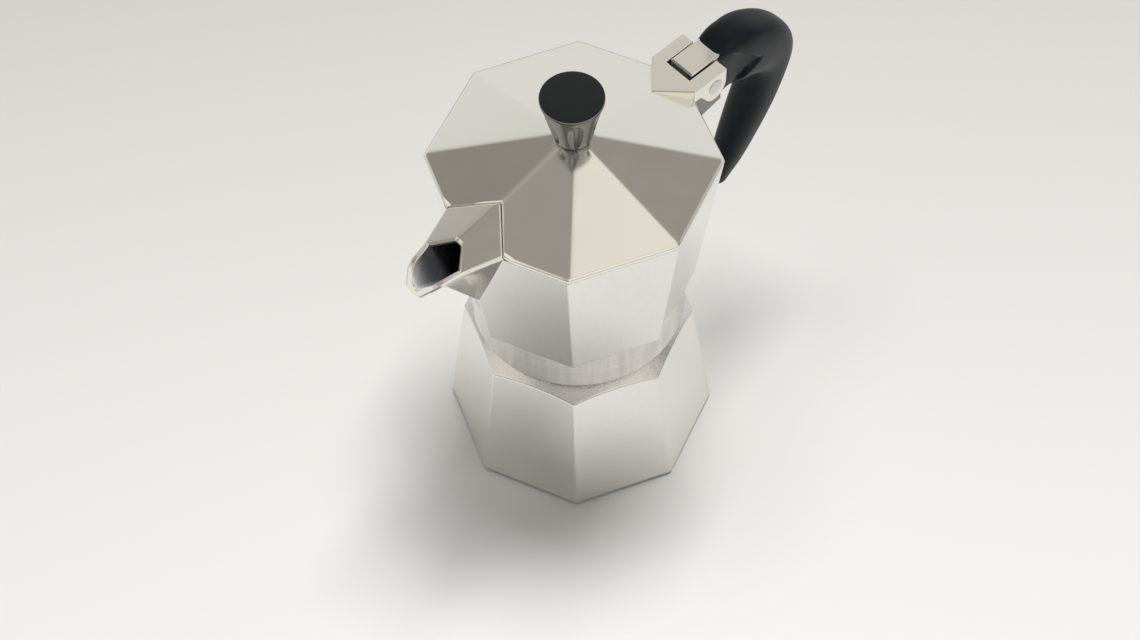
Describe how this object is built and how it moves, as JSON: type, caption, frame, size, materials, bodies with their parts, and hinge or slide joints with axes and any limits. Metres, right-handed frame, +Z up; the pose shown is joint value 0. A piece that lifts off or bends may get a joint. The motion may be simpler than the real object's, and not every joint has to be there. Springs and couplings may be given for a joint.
{
  "type": "moka pot",
  "caption": "Stovetop moka pot with an octagonal aluminium boiler, a screw-on flared collector with a spout, a hinged lid with a black knob and a black side handle.",
  "frame": {"origin": "centre of the boiler's flat base, on the surface the pot stands on", "axes": "+Z up along the pot's axis, +X towards the handle and the lid hinge, -X towards the spout"},
  "size_m": [0.1586, 0.092, 0.1662],
  "materials": {
    "cast_aluminium": "polished",
    "spun_aluminium": "satin",
    "steel": "satin",
    "brass": "satin",
    "black_handle": "soft matte",
    "black_knob": "glossy",
    "white_rubber": "matte",
    "valve_rubber": "matte"
  },
  "bodies": {
    "boiler": {"boiler": "cast_aluminium", "valve_body": "brass", "valve_washer": "brass", "valve_retainer": "brass", "valve_spring": "steel", "funnel": "spun_aluminium", "funnel_disc": "spun_aluminium"},
    "valve_plunger": {"valve_plunger": "brass", "valve_seal": "valve_rubber"},
    "gasket": {"gasket": "white_rubber", "filter_plate": "spun_aluminium"},
    "collector": {"collector": "cast_aluminium", "riser_column": "cast_aluminium", "handle": "black_handle", "handle_pin": "steel", "hinge_pin": "steel"},
    "lid": {"lid": "cast_aluminium", "knob": "black_knob", "knob_insert": "brass", "knob_screw": "steel", "knob_washer": "steel"}
  },
  "joints": [
    {"name": "valve_lift", "type": "slide", "parent": "boiler", "child": "valve_plunger", "axis": [0.3797, 0.9166, 0.1251], "range_m": [0, 0.0015], "stiffness_N_per_m": 500, "springref_m": -0.003, "deforming": ["valve_spring"]},
    {"name": "collar_lift", "type": "slide", "parent": "boiler", "child": "gasket", "axis": [0, 0, 1], "range_m": [0, 0.0091]},
    {"name": "collar_turn", "type": "hinge", "parent": "gasket", "child": "collector", "pos_m": [0, 0, 0.065], "axis": [0, 0, 1], "range_deg": [0, 1080]},
    {"name": "lid_hinge", "type": "hinge", "parent": "collector", "child": "lid", "pos_m": [0.051, 0, 0.1355], "axis": [0, 1, 0], "range_deg": [0, 100]}
  ],
  "couplings": [
    {"joint": "collar_lift", "follows": "collar_turn", "m_per_rad": 0.00047746}
  ]
}
